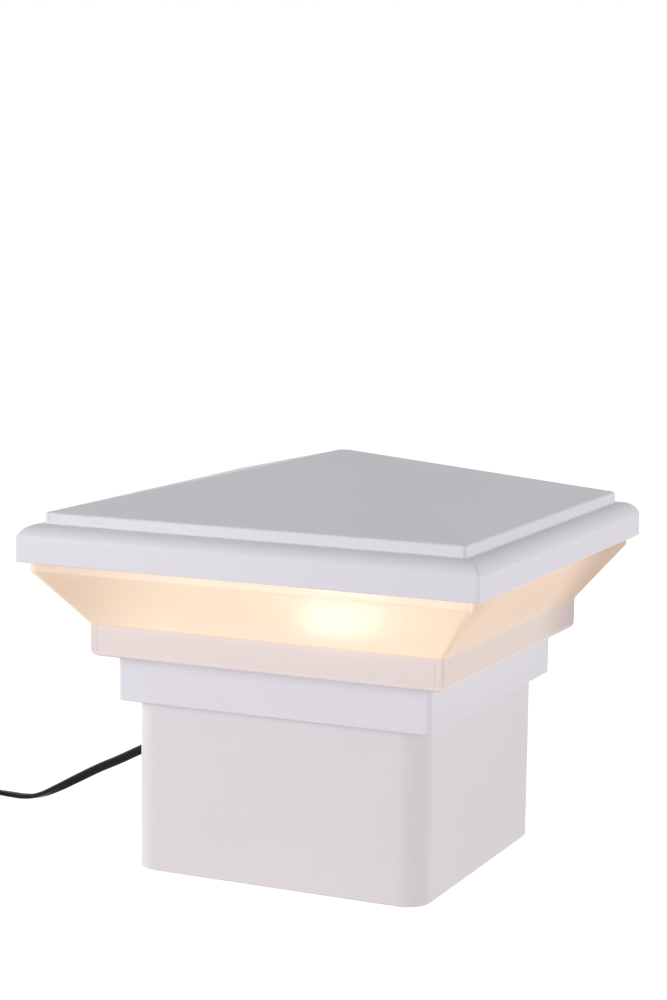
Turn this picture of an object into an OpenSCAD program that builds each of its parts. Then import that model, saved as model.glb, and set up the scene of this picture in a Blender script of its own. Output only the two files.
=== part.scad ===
// Deck post cap light on a short length of square post sleeve.
// The collar slips over the sleeve and carries a frosted lens, and the hollow roof lifts off the lens.
// Millimetres, +Z up. The origin is the centre of the sleeve's foot. -Y is the front, and the lead leaves to -X.

/* [Post sleeve] */
// Outside width of the square sleeve
sleeve_w = 101.6; // [96:0.1:108]
// Wall of the sleeve
sleeve_wall = 3.4; // [2.6:0.1:4.4]
// Outside corner radius of the sleeve
sleeve_corner_r = 8; // [6:0.5:12]
// Height of sleeve that shows below the collar
sleeve_show_h = 56; // [50:1:90]

/* [Collar] */
// Gap between the sleeve and the collar, each side
collar_gap = 0.5; // [0.3:0.1:1]
// Wall of the collar's skirt
collar_wall = 3; // [2.6:0.1:4]
// Height of the skirt and deck together
collar_h = 15.8; // [14:0.1:22]
// Thickness of the deck across the collar's top
deck_t = 3; // [2.8:0.1:4]
// Outside corner radius of the collar
collar_corner_r = 1.5; // [0.6:0.1:3]
// Thickness of the foam gasket on the sleeve's end
gasket_t = 1.5; // [1:0.1:3]
// Radius of the two grub screws
grub_r = 2; // [1.5:0.1:2.5]

/* [Lens] */
// How far the lens stands out past the collar, each side
lens_overhang = 6.7; // [4:0.1:10]
// Wall of the lens
lens_wall = 3; // [2.4:0.1:3.6]
// Height of the upright band
band_h = 9.8; // [8:0.1:14]
// Radius of the band's bottom edge
band_edge_r = 2.2; // [1:0.1:2.6]
// Height of the slanted part
taper_h = 17.9; // [14:0.1:24]
// How far the slanted part leans out, each side
taper_out = 13.65; // [10:0.05:17]
// Height of the upright lip, most of it inside the roof
lip_h = 10.5; // [9.5:0.1:13]
// Width of the floor flange, from the band's outside inwards
flange_w = 20; // [18.5:0.5:22]

/* [Roof] */
// Gap between the lens lip and the roof, each side
roof_gap = 0.55; // [0.3:0.05:1]
// Wall of the roof shell
roof_wall = 2.8; // [2.2:0.1:3.4]
// Height of the fascia, from its bottom edge to the ledge
fascia_h = 11.8; // [10:0.1:14]
// Radius of the quarter round along the fascia's top
fascia_round_r = 5.4; // [3:0.1:6.4]
// Width of the ledge from the roof's outside to the step
ledge_w = 6.8; // [6.5:0.1:9]
// Height of the step
step_h = 3.6; // [2:0.1:6]
// Rise of the pyramid above the step
roof_rise = 17.6; // [12:0.1:30]
// Thickness of the seal between lens and roof
roof_seal_t = 1.5; // [1:0.1:2.5]

/* [Lamp] */
// Radius of the bulb's glass
bulb_r = 5.15; // [4.5:0.05:6]
// Height of the bulb's glass above the socket
bulb_h = 16.8; // [14:0.1:18]
// Width of the bulb's wedge base
wedge_w = 9.4; // [8.6:0.1:10.4]
// Thickness of the bulb's wedge base
wedge_t = 2.1; // [1.8:0.1:2.6]
// Depth of the bulb's wedge base
wedge_h = 9; // [8:0.1:10]
// Radius of the lamp socket
socket_r = 7.8; // [7.4:0.1:9]
// Height of the lamp socket
socket_h = 20; // [18:0.5:24]
// Thickness of both reflector plates
plate_t = 0.8; // [0.5:0.1:1.2]

/* [Lead] */
// Width of the flat twin lead
lead_w = 3.2; // [2.8:0.1:3.4]
// Thickness of the flat twin lead
lead_t = 1.7; // [1.4:0.1:1.8]
// Radius of one insulated conductor
core_r = 0.8; // [0.6:0.05:0.9]
// Turns of the stored coil
coil_turns = 7.25; // [5.25:1:8.25]
// Outer radius of the coil, to the middle of its outermost turn
coil_r = 21.6; // [20:0.1:24]

/* [Screws] */
// Radius of the screws' shanks
screw_r = 1.5; // [1.2:0.1:1.6]
// Radius of the screws' heads
screw_head_r = 2.8; // [2.6:0.1:3.2]
// Height of the screws' heads
screw_head_h = 1.8; // [1.4:0.1:2.2]

/* [Hidden] */

$fn = 48;
cut = 1;                 // how far a cutting solid runs past a face
fit_gap = 0.05;          // running fit of round pieces
easy_gap = 0.3;          // gap of loosely seated pieces
pilot_wall = 0.6;        // material left under a blind pilot hole in the deck

// Heights, from the foot up
deck_top = sleeve_show_h + collar_h;
deck_under = deck_top - deck_t;
sleeve_top = deck_under - gasket_t;
crease_z = deck_top + band_h;
lip_z = crease_z + taper_h;
lip_top = lip_z + lip_h;
roof_seat = lip_top + roof_seal_t;
ledge_z = roof_seat + roof_wall;
fascia_z = ledge_z - fascia_h;
step_z = ledge_z + step_h;
apex_z = step_z + roof_rise;

// Half widths, from the sleeve out
sleeve_half = sleeve_w / 2;
sleeve_in = sleeve_half - sleeve_wall;
collar_in = sleeve_half + collar_gap;
collar_half = collar_in + collar_wall;
band_half = collar_half + lens_overhang;
band_in = band_half - lens_wall;
lip_half = band_half + taper_out;
lip_in = lip_half - lens_wall;
flange_in = band_half - flange_w;
roof_in = lip_half + roof_gap;
roof_half = roof_in + roof_wall;
step_half = roof_half - ledge_w;
step_in = step_half - roof_wall;

// The slanted wall keeps its thickness square to its slope
taper_slope = taper_out / taper_h;
taper_shift = lens_wall * sqrt(1 + taper_slope * taper_slope);
roof_slope = roof_rise / step_half;
roof_drop = roof_wall * sqrt(1 + roof_slope * roof_slope);
roof_under = step_z + (step_half - step_in) * roof_slope - roof_drop;

// Pieces under the roof hang from bosses that end a little above the lens lip
boss_z = lip_top;
boss_r = screw_r + 2.4;
boss_pilot = 5.6;
clip_w = 12;
clip_t = 0.5;
clip_arm = 8;
clip_hole_in = 11.5;                          // from the lens lip's inside to the clip's screw
clip_x = lip_in - clip_hole_in;
roof_plate_half = clip_x - 9.5;
roof_plate_hole = roof_plate_half - 9;

// Screws in the deck
lens_screw_in = flange_w - 4.8;               // from the band's outside to the screw
lens_screw_x = band_half - lens_screw_in;
deck_plate_half = flange_in - easy_gap;
deck_plate_hole = deck_plate_half - 8;
pilot_depth = deck_t - pilot_wall;
grub_z = sleeve_show_h + (collar_h - deck_t - gasket_t) / 2;
grub_l = collar_wall - 0.3;

// Lamp and socket, on the vertical axis
socket_top = deck_top - 1.8;                  // the mouth is sunk below the deck's top
socket_bottom = socket_top - socket_h;
ear_t = 2;
ear_x = socket_r + screw_head_r + 0.8;
slot_floor = socket_top - wedge_h;
wire_r = 0.25;
slot_half = wedge_t / 2 + 2 * wire_r + 0.15;
contact_t = 0.4;
contact_w = 3;
contact_x = 3;
contact_y = slot_half + contact_t / 2;
contact_tail = 4;
contact_z = socket_bottom - contact_tail;
filament_z = socket_top + 9.5;
glass_wall = 0.5;

// Lead: the hole in the sleeve's wall and the rubber grommet round it
grommet_neck_r = 4.9;
grommet_lip_r = 6.6;
grommet_lip_t = 1.8;
grommet_face = -sleeve_half - grommet_lip_t;
lead_play = 0.1;
split_x = -sleeve_in + 8;                     // where the two conductors part
splice_x = split_x + 5.4;
splice_l = 14;
splice_r = 2.2;
splice_y = 4;

// Slack loop from the splices to the contacts' tails, past the axis and back up.
// Low points: [x, y apart, z above the lead]. Last points: [x, x apart, y apart, z above the tails].
slack_start = 6;
slack_low = [[-6, 4.6, -1], [4, 5, -0.5], [11, 4.8, 2], [13, 4, 6]];
slack_last = [[8, 2, 3, -5], [2, 2.6, 2.2, -4], [0, contact_x, contact_y, -2], [0, contact_x, contact_y, 0]];

// Free lead, from the grommet's face down to the floor and on to the coil: [x, y, z, turn].
// A turn of 0 stands the lead on its edge, and 90 lays it flat.
lead_route = [
    [-52.6, 0, 32, 0], [-57, 0, 32, 0], [-63, 0.3, 31.2, 0], [-70, 1, 28.5, 0], [-77.8, 2.4, 24.6, 5],
    [-86.6, 3.8, 20, 12], [-96, 5, 15.4, 25], [-105, 5.7, 10.5, 45], [-113.4, 6.2, 5.9, 65],
    [-120, 6.5, 2.7, 80], [-124, 6.5, 1.5, 88], [-128, 6.5, 1, 90], [-133, 6.5, 1, 90],
    [-139, 6.5, 1.2, 80], [-146, 6.5, 1.8, 50], [-152.5, 6.5, 2.5, 15], [-158.8, 6.5, 2.6, 0]];
lead_z = lead_route[0][2];
lead_end = lead_route[len(lead_route) - 1];

// Stored coil: it spirals in on the lower layer and out again on the upper one
coil_lift = 1;
coil_play = 0.5;
coil_rings = 24;
coil_pitch = lead_t + coil_play;
coil_low = coil_lift + lead_w / 2;
coil_high = coil_low + lead_w + coil_play;
coil_x = lead_end[0] - lead_w;
coil_y = lead_end[1] - coil_r;
coil_steps = round(coil_turns * coil_rings);
coil_r_in = coil_r - coil_pitch * coil_turns / 2;
plug_z = 3.5;
tail_steps = 5;
tail_step = 3.4;
tail_y = coil_y - tail_steps * tail_step;
tie_w = 4;
tie_t = 0.8;
tie_angle = 300;

// Plug on the lead's far end
plug_w = 9;
plug_h = 2 * plug_z;
plug_l = 18;
relief_l = 9;
pin_r = 0.8;
pin_l = 8;
pin_seat = 3;
pin_gap = 4;

// ---- Shapes that repeat ----

// Square of width w with round corners of radius r
module round_square(w, r) {
    square([w - 2 * r, w], center = true);
    square([w, w - 2 * r], center = true);
    for (x = [-1, 1], y = [-1, 1]) translate([x * (w / 2 - r), y * (w / 2 - r)]) circle(r);
}

// Solid of square plan whose half width at each height is the profile's.
// The profile runs along X and along Y, and what both share is kept.
module mitred(w) {
    intersection() {
        rotate([90, 0, 0]) linear_extrude(height = w, center = true) children();
        rotate([90, 0, 90]) linear_extrude(height = w, center = true) children();
    }
}

// Upright box between two heights, centred on the axis
module slab(half, z0, z1) {
    translate([-half, -half, z0]) cube([2 * half, 2 * half, z1 - z0]);
}

// The children at the four corners of a square
module corners(half) {
    for (x = [-1, 1], y = [-1, 1]) translate([x * half, y * half, 0]) children();
}

// The children at the middle of the four sides, turned to face outwards
module sides(half) {
    for (a = [0:90:270]) rotate(a) translate([half, 0, 0]) children();
}

// Pan head screw, head up, its seat at z = 0 and its shank down to -length
module pan_screw(length) {
    difference() {
        union() {
            translate([0, 0, -length]) cylinder(r = screw_r, h = length);
            cylinder(r = screw_head_r, h = screw_head_h * 0.6);
            translate([0, 0, screw_head_h * 0.6])
                cylinder(r1 = screw_head_r, r2 = screw_head_r * 0.72, h = screw_head_h * 0.4);
        }
        for (a = [0, 90]) rotate(a)
            translate([-screw_head_r * 0.55, -0.3, screw_head_h * 0.45])
                cube([screw_head_r * 1.1, 0.6, screw_head_h]);
    }
}

// Pilot hole for a screw's shank, from z = 0 down
module pilot(depth) {
    translate([0, 0, -depth]) cylinder(r = screw_r + fit_gap, h = depth + cut);
}

// ---- Swept leads ----

function unit(v) = v / norm(v);
function point(p) = [p[0], p[1], p[2]];
function tangent(path, i) =
    unit(point(path[min(i + 1, len(path) - 1)]) - point(path[max(i - 1, 0)]));

// Outline points of the section at path point i: across the lead, then along its width
function ring(path, i, up, outline) =
    let (t = tangent(path, i), n = unit(cross(up, t)), b = cross(t, n),
        c = cos(path[i][3]), s = sin(path[i][3]))
    [for (q = outline) point(path[i]) + (q[0] * c + q[1] * s) * n + (q[1] * c - q[0] * s) * b];

// Outline of the flat twin lead with 6 or 8 corners, and of a round conductor
flat_six = [[lead_t / 2, -lead_w * 0.28], [lead_t / 2, lead_w * 0.28], [0, lead_w / 2],
    [-lead_t / 2, lead_w * 0.28], [-lead_t / 2, -lead_w * 0.28], [0, -lead_w / 2]];
flat_eight = [[lead_t / 2, -lead_w * 0.28], [lead_t / 2, lead_w * 0.28], [lead_t / 4, lead_w / 2],
    [-lead_t / 4, lead_w / 2], [-lead_t / 2, lead_w * 0.28], [-lead_t / 2, -lead_w * 0.28],
    [-lead_t / 4, -lead_w / 2], [lead_t / 4, -lead_w / 2]];
function round_eight(r) = [for (a = [0:45:315]) [r * cos(a), r * sin(a)]];

// One closed tube of triangles along the path
module sweep(path, outline, up = [0, 0, 1]) {
    m = len(outline);
    last = len(path) - 1;
    points = [for (i = [0:last]) each ring(path, i, up, outline)];
    walls = [for (i = [0:last - 1], k = [0:m - 1])
        let (a = i * m + k, b = i * m + (k + 1) % m) each [[a, a + m, b + m], [a, b + m, b]]];
    first_cap = [for (k = [1:m - 2]) [0, k, k + 1]];
    last_cap = [for (k = [1:m - 2]) [last * m, last * m + k + 1, last * m + k]];
    polyhedron(points = points, faces = concat(walls, first_cap, last_cap));
}

// Smooth step from 0 to 1
function ease(x) = let (u = min(max(x, 0), 1)) u * u * (3 - 2 * u);

// Middle of the coil after t turns: the radius falls and grows at a steady rate,
// and the layer changes over the half turn in the middle
function coil_point(t) =
    let (r = coil_r - coil_pitch * min(t, coil_turns - t),
        z = coil_low + (coil_high - coil_low) * ease((t - coil_turns / 2) * 2 + 0.5))
    [coil_x + r * cos(90 + 360 * t), coil_y + r * sin(90 + 360 * t), z, 0];

coil_path = concat(
    [[lead_end[0], lead_end[1], coil_low, 0]],
    [for (i = [0:coil_steps]) coil_point(i / coil_rings)],
    [for (i = [1:tail_steps]) [coil_x - coil_r, coil_y - i * tail_step,
        coil_high - (coil_high - plug_z) * ease(i / (tail_steps - 1)), 0]]);

// Least gap between turns, measured between outline points at the same angle of different turns
coil_outlines = [for (i = [0:coil_steps]) ring(coil_path, i + 1, [0, 0, 1], flat_six)];
coil_gap = min([for (i = [0:coil_steps - coil_rings], j = [i + coil_rings:coil_rings:coil_steps])
    min([for (p = coil_outlines[i], q = coil_outlines[j]) norm(p - q)])]);
echo(least_gap_between_coil_turns_mm = coil_gap);

function path_length(path) =
    len(path) < 2 ? 0 : [for (i = 0, d = 0; i < len(path);
        i = i + 1, d = d + (i < len(path) ? norm(point(path[i]) - point(path[i - 1])) : 0)) d][len(path) - 1];
echo(lead_length_mm = path_length(lead_route) + path_length(coil_path));

// ---- Post ----

// Square tube with round corners, and the hole for the lead's grommet in its left wall
module post_sleeve() color("whitesmoke") {
    difference() {
        linear_extrude(height = sleeve_top) difference() {
            round_square(sleeve_w, sleeve_corner_r);
            round_square(2 * sleeve_in, sleeve_corner_r - sleeve_wall);
        }
        translate([-sleeve_half - cut, 0, lead_z]) rotate([0, 90, 0])
            cylinder(r = grommet_neck_r + fit_gap, h = sleeve_wall + 2 * cut);
    }
}

// Rubber ring with a lip on each side of the wall and a slot that fits the lead
module cable_grommet() color("dimgray") {
    translate([0, 0, lead_z]) difference() {
        rotate([0, 90, 0]) {
            translate([0, 0, grommet_face]) cylinder(r = grommet_lip_r, h = grommet_lip_t);
            translate([0, 0, -sleeve_half - 0.01]) cylinder(r = grommet_neck_r, h = sleeve_wall + 0.02);
            translate([0, 0, -sleeve_in]) cylinder(r = grommet_lip_r, h = grommet_lip_t);
        }
        translate([grommet_face - cut, -lead_t / 2 - lead_play, -lead_w / 2 - lead_play])
            cube([sleeve_wall + 2 * grommet_lip_t + 2 * cut, lead_t + 2 * lead_play,
                lead_w + 2 * lead_play]);
    }
}

// The lead inside the sleeve: it goes through the grommet and parts into two conductors
module supply_leads() color("black") {
    sweep([[grommet_face, 0, lead_z, 0], [-sleeve_half, 0, lead_z, 0], [-sleeve_in, 0, lead_z, 0],
        [split_x, 0, lead_z, 0]], flat_eight);
    for (s = [-1, 1])
        sweep([[split_x - 1, 0, lead_z + s * core_r * 0.9, 0], [split_x + 1, s * 0.8, lead_z + s * 0.6, 0],
            [split_x + 2.6, s * 2.6, lead_z + s * 0.3, 0], [split_x + 3.8, s * splice_y, lead_z, 0],
            [splice_x, s * splice_y, lead_z, 0]], round_eight(core_r * 0.95));
}

// Two crimped splices that join the lead's conductors to the lamp's
module wire_splices() color("gold") {
    for (s = [-1, 1]) translate([splice_x, s * splice_y, lead_z]) rotate([0, 90, 0])
        rotate_extrude() polygon([[0, 0], [splice_r * 0.8, 0], [splice_r, 1.5], [splice_r, splice_l - 1.5],
            [splice_r * 0.8, splice_l], [0, splice_l]]);
}

// The lead outside the sleeve, down to the floor and up to the coil
module lead_free() color("black") sweep(lead_route, flat_eight);

// The coiled rest of the lead, one unbroken tube whose tail runs down to the plug
module lead_coil() color("black") sweep(coil_path, flat_six);

// Band round the coil's turns
module coil_tie() color("dimgray") {
    inner = coil_r_in - lead_t / 2 - easy_gap;
    outer = coil_r + lead_t / 2 + easy_gap;
    top = coil_high + lead_w / 2 + easy_gap;
    translate([coil_x, coil_y, 0]) rotate(tie_angle) difference() {
        translate([inner - tie_t, -tie_w / 2, 0]) cube([outer - inner + 2 * tie_t, tie_w, top + tie_t]);
        translate([inner, -tie_w / 2 - cut, tie_t]) cube([outer - inner, tie_w + 2 * cut, top - tie_t]);
    }
}

// Moulded two pin plug with its tapered relief, lying on the floor
module lead_plug() color("black") {
    translate([coil_x - coil_r, tail_y, plug_z]) rotate([90, 0, 0]) difference() {
        union() {
            cylinder(r1 = 2.3, r2 = 3.2, h = relief_l);
            translate([0, 0, relief_l]) linear_extrude(height = plug_l) {
                square([plug_w - 2, plug_h], center = true);
                square([plug_w, plug_h - 2], center = true);
                for (x = [-1, 1], y = [-1, 1])
                    translate([x * (plug_w / 2 - 1), y * (plug_h / 2 - 1)]) circle(1);
            }
        }
        for (x = [-1, 1]) translate([x * pin_gap / 2, 0, relief_l + plug_l - pin_seat])
            cylinder(r = pin_r + fit_gap, h = pin_seat + cut);
    }
}

// The plug's two pins
module plug_pins() color("gold") {
    translate([coil_x - coil_r, tail_y, plug_z]) rotate([90, 0, 0])
        for (x = [-1, 1]) translate([x * pin_gap / 2, 0, relief_l + plug_l - pin_seat]) {
            cylinder(r = pin_r, h = pin_seat + pin_l - pin_r);
            translate([0, 0, pin_seat + pin_l - pin_r]) cylinder(r1 = pin_r, r2 = pin_r / 2, h = pin_r);
        }
}

// ---- Head ----

// Skirt over the sleeve and the deck that carries the lens and the socket
module base_collar() color("white") {
    difference() {
        translate([0, 0, sleeve_show_h]) linear_extrude(height = collar_h)
            round_square(2 * collar_half, collar_corner_r);
        slab(collar_in, sleeve_show_h - cut, deck_under);
        translate([0, 0, deck_under - cut]) cylinder(r = socket_r + easy_gap, h = deck_t + 2 * cut);
        translate([0, 0, deck_top]) {
            corners(lens_screw_x) pilot(pilot_depth);
            corners(deck_plate_hole) pilot(pilot_depth);
        }
        for (x = [-1, 1]) translate([x * ear_x, 0, deck_under]) rotate([180, 0, 0]) pilot(pilot_depth);
        for (a = [90, 180]) rotate(a) translate([collar_in - cut, 0, grub_z]) rotate([0, 90, 0])
            cylinder(r = grub_r + fit_gap, h = collar_wall + 2 * cut);
    }
}

// Foam ring between the sleeve's end and the deck
module collar_gasket() color("gray") {
    translate([0, 0, sleeve_top]) linear_extrude(height = gasket_t) difference() {
        round_square(2 * (collar_in - easy_gap), sleeve_corner_r);
        round_square(2 * (sleeve_in - 0.6), sleeve_corner_r - sleeve_wall);
    }
}

// Grub screws in the back and left walls of the skirt, which grip the sleeve
module set_screws() color("silver") {
    for (a = [90, 180]) rotate(a) translate([collar_in - 0.2, 0, grub_z]) rotate([0, 90, 0]) difference() {
        cylinder(r = grub_r, h = grub_l);
        translate([0, 0, grub_l - 1.4]) cylinder(r = grub_r * 0.5, h = 1.4 + cut, $fn = 6);
    }
}

// Outside of the lens in section: band with a round bottom edge, slanted part and lip
module lens_outside() {
    for (s = [-1, 1]) translate([s * (band_half - band_edge_r), deck_top + band_edge_r]) circle(band_edge_r);
    translate([-band_half + band_edge_r, deck_top]) square([2 * (band_half - band_edge_r), band_h]);
    polygon([[-band_half, deck_top + band_edge_r], [band_half, deck_top + band_edge_r],
        [band_half, crease_z], [lip_half, lip_z], [lip_half, lip_top], [-lip_half, lip_top],
        [-lip_half, lip_z], [-band_half, crease_z]]);
}

// Inside of the lens in section, open at the top
module lens_inside() {
    low = crease_z + (band_in - band_half + taper_shift) / taper_slope;
    high = crease_z + (lip_in - band_half + taper_shift) / taper_slope;
    polygon([[-band_in, deck_top + lens_wall], [band_in, deck_top + lens_wall], [band_in, low],
        [lip_in, high], [lip_in, lip_top + cut], [-lip_in, lip_top + cut], [-lip_in, high],
        [-band_in, low]]);
}

// Frosted lens: one moulding with a floor flange that is screwed to the deck
module lens_shade() color("moccasin") {
    difference() {
        mitred(2 * lip_half + 2) lens_outside();
        mitred(2 * lip_half + 2) lens_inside();
        slab(flange_in, deck_top - cut, deck_top + lens_wall + cut);
        corners(lens_screw_x) translate([0, 0, deck_top - cut])
            cylinder(r = screw_r + easy_gap, h = lens_wall + 2 * cut);
    }
}

// Four screws that hold the lens down
module lens_screws() color("silver") {
    translate([0, 0, deck_top + lens_wall]) corners(lens_screw_x) pan_screw(lens_wall + pilot_depth - 0.2);
}

// Lamp socket under the deck: a barrel with two ears, the wedge's slot and pockets for the contacts
module lamp_socket() color("ivory") {
    difference() {
        union() {
            translate([0, 0, socket_bottom]) cylinder(r = socket_r, h = socket_h);
            translate([-ear_x, -screw_head_r - 0.6, deck_under - ear_t])
                cube([2 * ear_x, 2 * screw_head_r + 1.2, ear_t]);
            for (x = [-1, 1]) translate([x * ear_x, 0, deck_under - ear_t])
                cylinder(r = screw_head_r + 0.6, h = ear_t);
        }
        translate([-wedge_w / 2 - 0.3, -slot_half, slot_floor])
            cube([wedge_w + 0.6, 2 * slot_half, wedge_h + cut]);
        for (s = [-1, 1]) translate([s * contact_x, s * contact_y, socket_bottom - cut])
            translate([-contact_w / 2 - 0.2, -contact_t / 2 - 0.2, 0])
                cube([contact_w + 0.4, contact_t + 0.4, socket_h + 2 * cut]);
        for (x = [-1, 1]) translate([x * ear_x, 0, deck_under - ear_t - cut])
            cylinder(r = screw_r + 0.2, h = ear_t + 2 * cut);
    }
}

// Two screws that hold the socket's ears up against the deck
module socket_screws() color("silver") {
    for (x = [-1, 1]) translate([x * ear_x, 0, deck_under - ear_t]) rotate([180, 0, 0])
        pan_screw(ear_t + pilot_depth - 0.2);
}

// Sprung contact strips at the sides of the slot, with tails below the socket
module socket_contacts() color("orange") {
    for (s = [-1, 1]) translate([s * contact_x - contact_w / 2, s * contact_y - contact_t / 2, contact_z])
        cube([contact_w, contact_t, socket_h + contact_tail - 0.5]);
}

// Two slack conductors from the splices to the contacts' tails
module socket_leads() color("black") {
    start_x = splice_x + splice_l;
    for (s = [-1, 1])
        sweep(concat(
            [for (x = [start_x, start_x + slack_start]) [x, s * splice_y, lead_z, 0]],
            [for (p = slack_low) [p[0], s * p[1], lead_z + p[2], 0]],
            [for (p = slack_last) [p[0] + s * p[1], s * p[2], contact_z + p[3], 0]]),
            round_eight(core_r), [0, 1, 0]);
}

// Bright plate on the deck, inside the lens's flange
module deck_reflector() color("gainsboro") {
    difference() {
        slab(deck_plate_half, deck_top, deck_top + plate_t);
        translate([0, 0, deck_top - cut]) cylinder(r = socket_r + 0.6, h = plate_t + 2 * cut);
        corners(deck_plate_hole) translate([0, 0, deck_top - cut])
            cylinder(r = screw_r + 0.2, h = plate_t + 2 * cut);
    }
}

// Four screws that hold the deck's plate
module deck_plate_screws() color("silver") {
    translate([0, 0, deck_top + plate_t]) corners(deck_plate_hole) pan_screw(plate_t + pilot_depth - 0.2);
}

// ---- Roof ----

// Outside of the roof in section: fascia with a quarter round, ledge, step and pyramid
module roof_outside() {
    inner_w = roof_half - fascia_round_r;
    translate([-roof_half, fascia_z]) square([2 * roof_half, fascia_h - fascia_round_r]);
    translate([-inner_w, fascia_z]) square([2 * inner_w, fascia_h]);
    for (s = [-1, 1]) translate([s * inner_w, ledge_z - fascia_round_r]) circle(fascia_round_r);
    polygon([[-step_half, ledge_z - cut], [step_half, ledge_z - cut], [step_half, step_z],
        [0, apex_z], [-step_half, step_z]]);
}

// Hollow of the roof in section, open at the bottom
module roof_inside() {
    polygon([[-roof_in, fascia_z - cut], [roof_in, fascia_z - cut], [roof_in, roof_seat],
        [step_in, roof_seat], [step_in, roof_under], [0, roof_under + step_in * roof_slope],
        [-step_in, roof_under], [-step_in, roof_seat], [-roof_in, roof_seat]]);
}

// Hollow roof with bosses for the clips and the reflector plate
module roof_cap() color("white") {
    difference() {
        union() {
            difference() {
                mitred(2 * roof_half + 2) roof_outside();
                mitred(2 * roof_half + 2) roof_inside();
            }
            sides(clip_x) translate([0, 0, boss_z])
                cylinder(r = boss_r, h = roof_under + (step_in - clip_x) * roof_slope - boss_z + 0.6);
            corners(roof_plate_hole) translate([0, 0, boss_z])
                cylinder(r = boss_r, h = roof_under + (step_in - roof_plate_hole) * roof_slope - boss_z + 0.6);
        }
        translate([0, 0, boss_z]) rotate([180, 0, 0]) {
            sides(clip_x) pilot(boss_pilot);
            corners(roof_plate_hole) pilot(boss_pilot);
        }
    }
}

// Seal between the lens's lip and the roof
module roof_seal() color("gray") {
    difference() {
        slab(lip_half, lip_top, roof_seat);
        slab(lip_in, lip_top - cut, roof_seat + cut);
    }
}

// Bright plate under the roof, above the lamp
module roof_reflector() color("gainsboro") {
    difference() {
        slab(roof_plate_half, boss_z - plate_t, boss_z);
        corners(roof_plate_hole) translate([0, 0, boss_z - plate_t - cut])
            cylinder(r = screw_r + 0.2, h = plate_t + 2 * cut);
    }
}

// Four screws that hold the roof's plate
module roof_plate_screws() color("silver") {
    translate([0, 0, boss_z - plate_t]) rotate([180, 0, 0]) corners(roof_plate_hole)
        pan_screw(plate_t + boss_pilot - 0.6);
}

// Four spring clips whose arms reach down inside the lens's lip
module roof_clips() color("silver") {
    reach = lip_in - easy_gap - clip_x;
    sides(clip_x) difference() {
        translate([0, clip_w / 2, boss_z]) rotate([90, 0, 0]) linear_extrude(height = clip_w)
            polygon([[-5, 0], [reach - 0.8, 0], [reach - 0.8, -clip_arm * 0.45], [reach, -clip_arm * 0.6],
                [reach - 1.2, -clip_arm], [reach - 1.2 - clip_t, -clip_arm],
                [reach - 0.8 - clip_t, -clip_arm * 0.6], [reach - 0.8 - clip_t, -clip_t],
                [-5, -clip_t]]);
        translate([0, 0, boss_z - clip_t - cut]) cylinder(r = screw_r + 0.2, h = clip_t + 2 * cut);
    }
}

// Four screws that hold the clips
module clip_screws() color("silver") {
    translate([0, 0, boss_z - clip_t]) rotate([180, 0, 0]) sides(clip_x) pan_screw(clip_t + boss_pilot - 0.6);
}

// ---- Bulb ----

// Glass: a thin domed envelope on a flat wedge base
module bulb_glass() color("lightyellow") {
    neck = 1.6;
    translate([0, 0, socket_top]) {
        difference() {
            rotate_extrude() {
                polygon([[0, 0], [bulb_r * 0.6, 0], [bulb_r, neck], [bulb_r, bulb_h - bulb_r], [0, bulb_h - bulb_r]]);
                intersection() {
                    translate([0, bulb_h - bulb_r]) circle(bulb_r);
                    translate([0, bulb_h - bulb_r - 1]) square([bulb_r + 1, bulb_r + 2]);
                }
            }
            rotate_extrude() {
                polygon([[0, neck + 0.4], [bulb_r - glass_wall, neck + 0.8],
                    [bulb_r - glass_wall, bulb_h - bulb_r], [0, bulb_h - bulb_r]]);
                intersection() {
                    translate([0, bulb_h - bulb_r]) circle(bulb_r - glass_wall);
                    translate([0, bulb_h - bulb_r - 1]) square([bulb_r + 1, bulb_r + 2]);
                }
            }
        }
        translate([-wedge_w / 2, -wedge_t / 2, -wedge_h]) cube([wedge_w, wedge_t, wedge_h + 0.2]);
    }
}

// Filament and its two support wires, inside the glass
module bulb_filament() color("gold") {
    span = 2;
    foot = socket_top + 2.45;
    for (s = [-1, 1]) translate([s * span, 0, foot]) cylinder(r = wire_r, h = filament_z - foot);
    translate([-span - wire_r, 0, filament_z]) rotate([0, 90, 0]) cylinder(r = 0.5, h = 2 * (span + wire_r));
}

// Wires folded along both faces of the wedge, where the socket's strips touch them
module bulb_contacts() color("silver") {
    for (s = [-1, 1]) translate([s * contact_x, s * (wedge_t / 2 + wire_r), slot_floor + 0.6])
        cylinder(r = wire_r, h = wedge_h - 1);
}

post_sleeve();
cable_grommet();
supply_leads();
wire_splices();
lead_free();
lead_coil();
coil_tie();
lead_plug();
plug_pins();
base_collar();
collar_gasket();
set_screws();
lens_shade();
lens_screws();
lamp_socket();
socket_screws();
socket_contacts();
socket_leads();
deck_reflector();
deck_plate_screws();
roof_cap();
roof_seal();
roof_reflector();
roof_plate_screws();
roof_clips();
clip_screws();
bulb_glass();
bulb_filament();
bulb_contacts();
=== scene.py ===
import math

import bmesh
import bpy
import numpy as np
from mathutils import Matrix


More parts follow.
